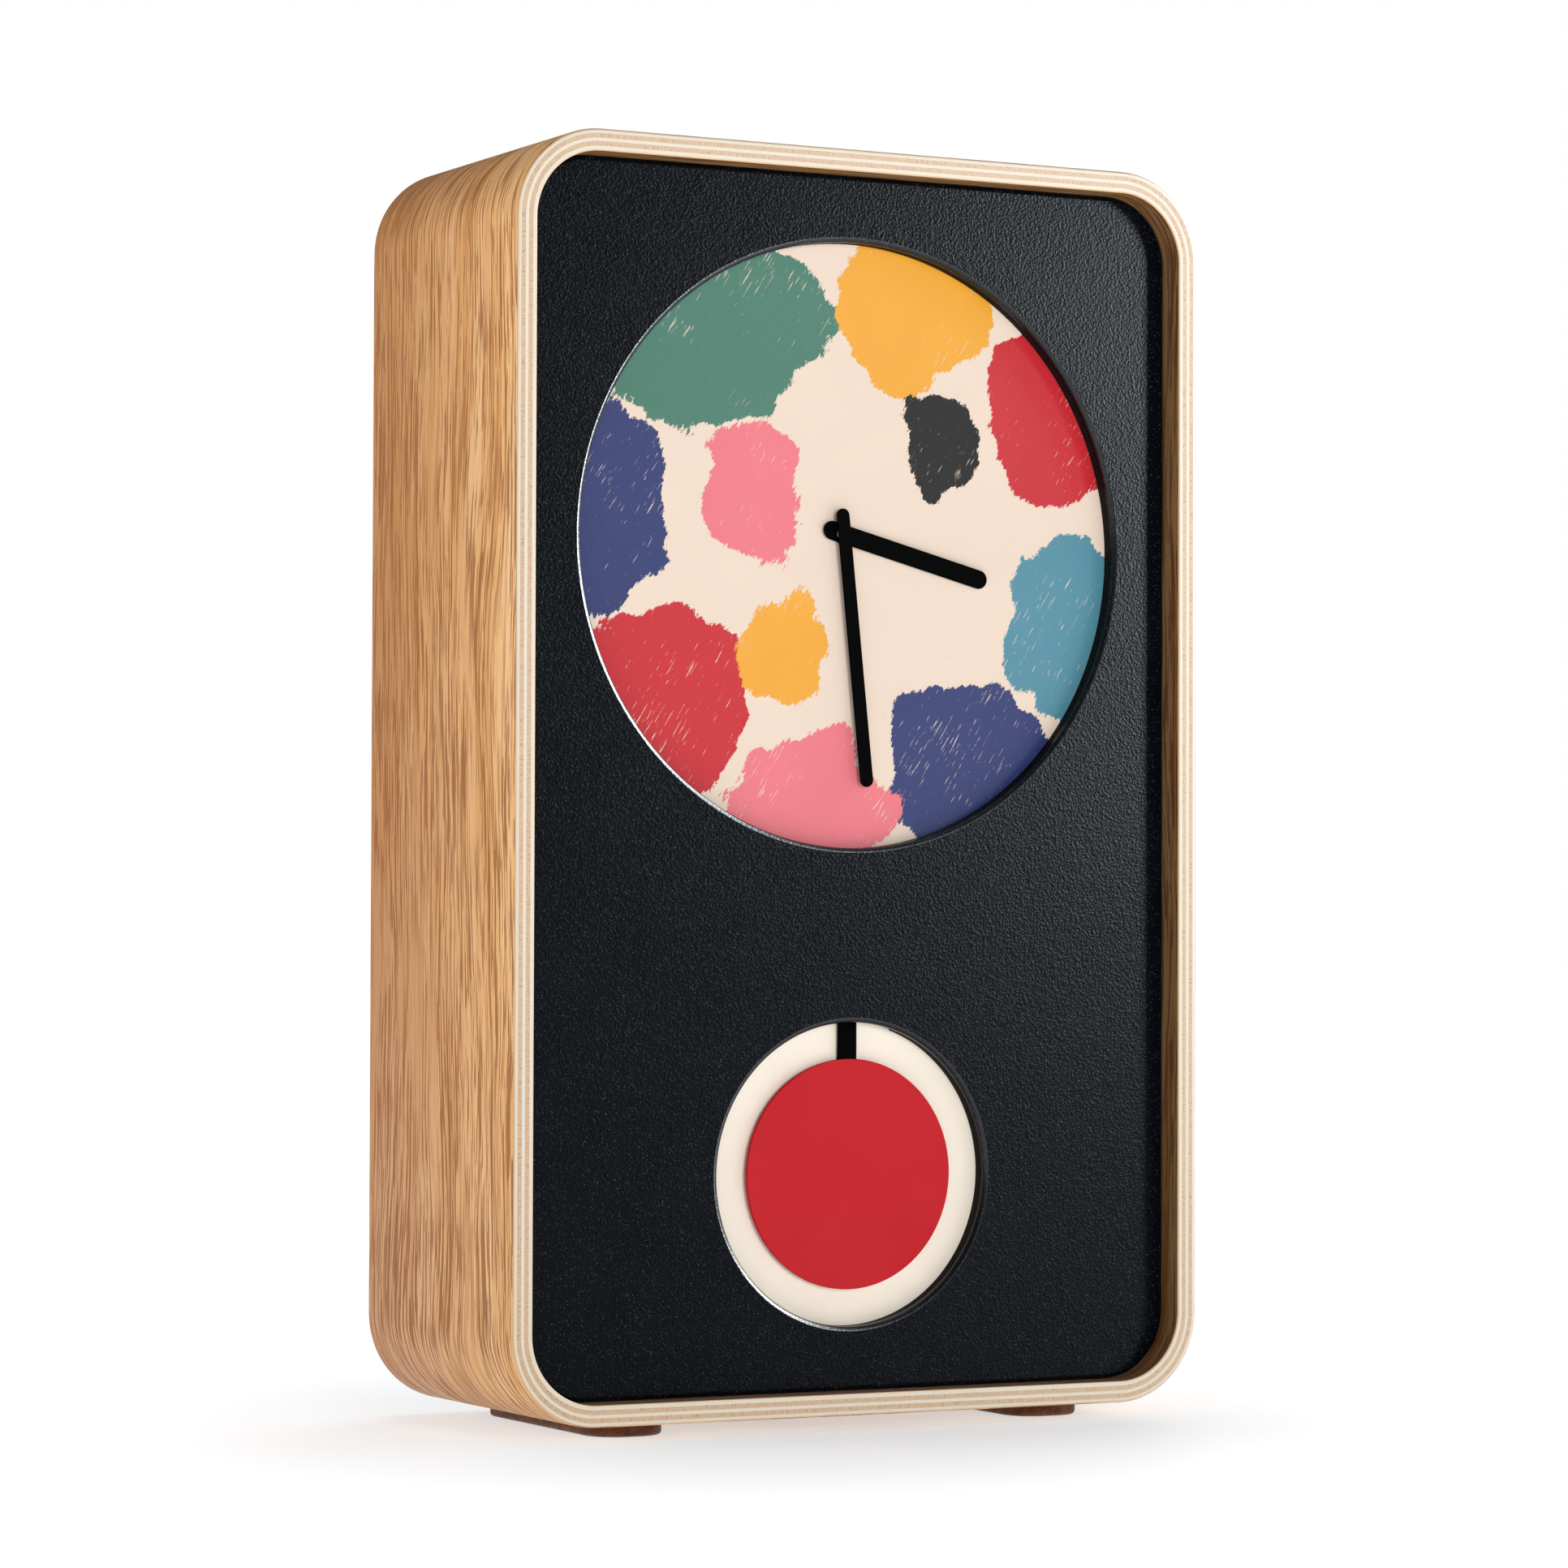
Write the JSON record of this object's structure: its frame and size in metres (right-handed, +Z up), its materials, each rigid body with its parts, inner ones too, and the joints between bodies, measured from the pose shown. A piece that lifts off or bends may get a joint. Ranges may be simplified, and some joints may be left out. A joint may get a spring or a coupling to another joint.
{
  "type": "pendulum table clock",
  "caption": "Free-standing pendulum clock: bent plywood case, dark front panel with dial and pendulum windows, geared quartz movement, hands and a swinging bob.",
  "frame": {"origin": "on the surface the clock stands on, under the middle of the case in width and depth", "axes": "+Z up, +X to the right as the dial is read, -Y out of the dial towards the reader"},
  "size_m": [0.1844, 0.083, 0.3034],
  "materials": {
    "oak_plywood": "satin lacquered oak veneer over light and tan plies",
    "brown_felt": "dense brown felt",
    "panel_black": "fine-grained blue-black leatherette",
    "black_board": "black dyed fibreboard",
    "pine": "bare planed pine",
    "dial_print": "matte art paper printed with crayon marks",
    "cream_card": "matte cream card",
    "hand_black": "matte black paint",
    "brass": "turned",
    "nylon": "natural moulded nylon",
    "acetal": "moulded acetal",
    "magnet": "sintered magnet, dark",
    "housing_plastic": "fine spark texture",
    "foam": "closed-cell foam with adhesive",
    "steel": "zinc plated",
    "copper": "enamelled winding wire",
    "circuit_board": "green solder mask",
    "epoxy": "glossy black epoxy",
    "cell_jacket": "plain silver-grey wrap",
    "bob_red": "matte red paint"
  },
  "bodies": {
    "case": {"plywood_case": "oak_plywood", "foot_pad_left": "brown_felt", "foot_pad_right": "brown_felt", "front_panel": "panel_black", "panel_spacer_board": "black_board", "panel_cleat_left": "pine", "panel_cleat_right": "pine", "panel_cleat_bottom": "pine", "panel_cleat_top": "pine", "panel_screw_1": "steel", "panel_screw_2": "steel", "panel_screw_3": "steel", "panel_screw_4": "steel", "panel_screw_5": "steel", "panel_screw_6": "steel", "dial_plate": "dial_print", "pendulum_backdrop": "cream_card", "movement_housing": "housing_plastic", "train_bridge": "acetal", "movement_rear_cover": "housing_plastic", "movement_foam_pad": "foam", "motor_stator": "steel", "motor_core": "steel", "motor_coil": "copper", "circuit_board": "circuit_board", "timing_chip": "epoxy", "quartz_crystal": "steel", "battery_contact_plus": "steel", "battery_contact_minus": "steel", "pendulum_pivot_pin": "steel", "pendulum_coil": "copper"},
    "minute_arbor_body": {"minute_arbor": "brass", "minute_hand": "hand_black"},
    "hour_wheel_body": {"hour_wheel": "nylon", "hour_hand": "hand_black"},
    "minute_wheel_body": {"minute_wheel": "nylon"},
    "setting_knob_body": {"setting_knob": "nylon"},
    "rotor_body": {"rotor_pinion": "acetal", "rotor_magnet": "magnet"},
    "fifth_wheel_body": {"fifth_wheel": "nylon"},
    "seconds_wheel_body": {"seconds_wheel": "acetal"},
    "third_wheel_body": {"third_wheel": "nylon"},
    "centre_wheel_body": {"centre_wheel": "acetal"},
    "pendulum_body": {"pendulum_hanger": "acetal", "pendulum_magnet": "magnet", "pendulum_rod": "hand_black", "pendulum_bob": "bob_red"},
    "battery_body": {"battery_cell": "cell_jacket"}
  },
  "joints": [
    {"name": "minute_hand_turn", "type": "hinge", "parent": "case", "child": "minute_arbor_body", "pos_m": [-0.0015, -0.03, 0.21265], "axis": [0, 1, 0], "continuous": true},
    {"name": "hour_hand_turn", "type": "hinge", "parent": "case", "child": "hour_wheel_body", "pos_m": [-0.0015, -0.03, 0.21265], "axis": [0, 1, 0], "continuous": true},
    {"name": "minute_wheel_turn", "type": "hinge", "parent": "case", "child": "minute_wheel_body", "pos_m": [-0.0095, -0.025, 0.21265], "axis": [0, 1, 0], "continuous": true},
    {"name": "setting_knob_turn", "type": "hinge", "parent": "case", "child": "setting_knob_body", "pos_m": [-0.0179, -0.01, 0.21265], "axis": [0, 1, 0], "continuous": true},
    {"name": "rotor_turn", "type": "hinge", "parent": "case", "child": "rotor_body", "pos_m": [0.01438, -0.017, 0.21747], "axis": [0, 1, 0], "continuous": true},
    {"name": "fifth_wheel_turn", "type": "hinge", "parent": "case", "child": "fifth_wheel_body", "pos_m": [0.0075, -0.019, 0.21265], "axis": [0, 1, 0], "continuous": true},
    {"name": "seconds_wheel_turn", "type": "hinge", "parent": "case", "child": "seconds_wheel_body", "pos_m": [-0.0015, -0.02, 0.21265], "axis": [0, 1, 0], "continuous": true},
    {"name": "third_wheel_turn", "type": "hinge", "parent": "case", "child": "third_wheel_body", "pos_m": [-0.0015, -0.022, 0.22285], "axis": [0, 1, 0], "continuous": true},
    {"name": "centre_wheel_turn", "type": "hinge", "parent": "case", "child": "centre_wheel_body", "pos_m": [-0.0015, -0.023, 0.21265], "axis": [0, 1, 0], "continuous": true},
    {"name": "pendulum_swing", "type": "hinge", "parent": "case", "child": "pendulum_body", "pos_m": [0, -0.026, 0.166], "axis": [0, 1, 0], "range_deg": [-4, 4]},
    {"name": "battery_lift_out", "type": "slide", "parent": "case", "child": "battery_body", "axis": [0, 1, 0], "range_m": [0, 0.035]}
  ],
  "couplings": [
    {"joint": "hour_hand_turn", "follows": "minute_hand_turn", "ratio": 0.083333},
    {"joint": "minute_wheel_turn", "follows": "minute_hand_turn", "ratio": -0.33333},
    {"joint": "setting_knob_turn", "follows": "minute_hand_turn", "ratio": 0.83333},
    {"joint": "fifth_wheel_turn", "follows": "rotor_turn", "ratio": -0.16667},
    {"joint": "seconds_wheel_turn", "follows": "rotor_turn", "ratio": 0.033333},
    {"joint": "third_wheel_turn", "follows": "rotor_turn", "ratio": -0.0044444},
    {"joint": "centre_wheel_turn", "follows": "rotor_turn", "ratio": 0.00055556}
  ]
}
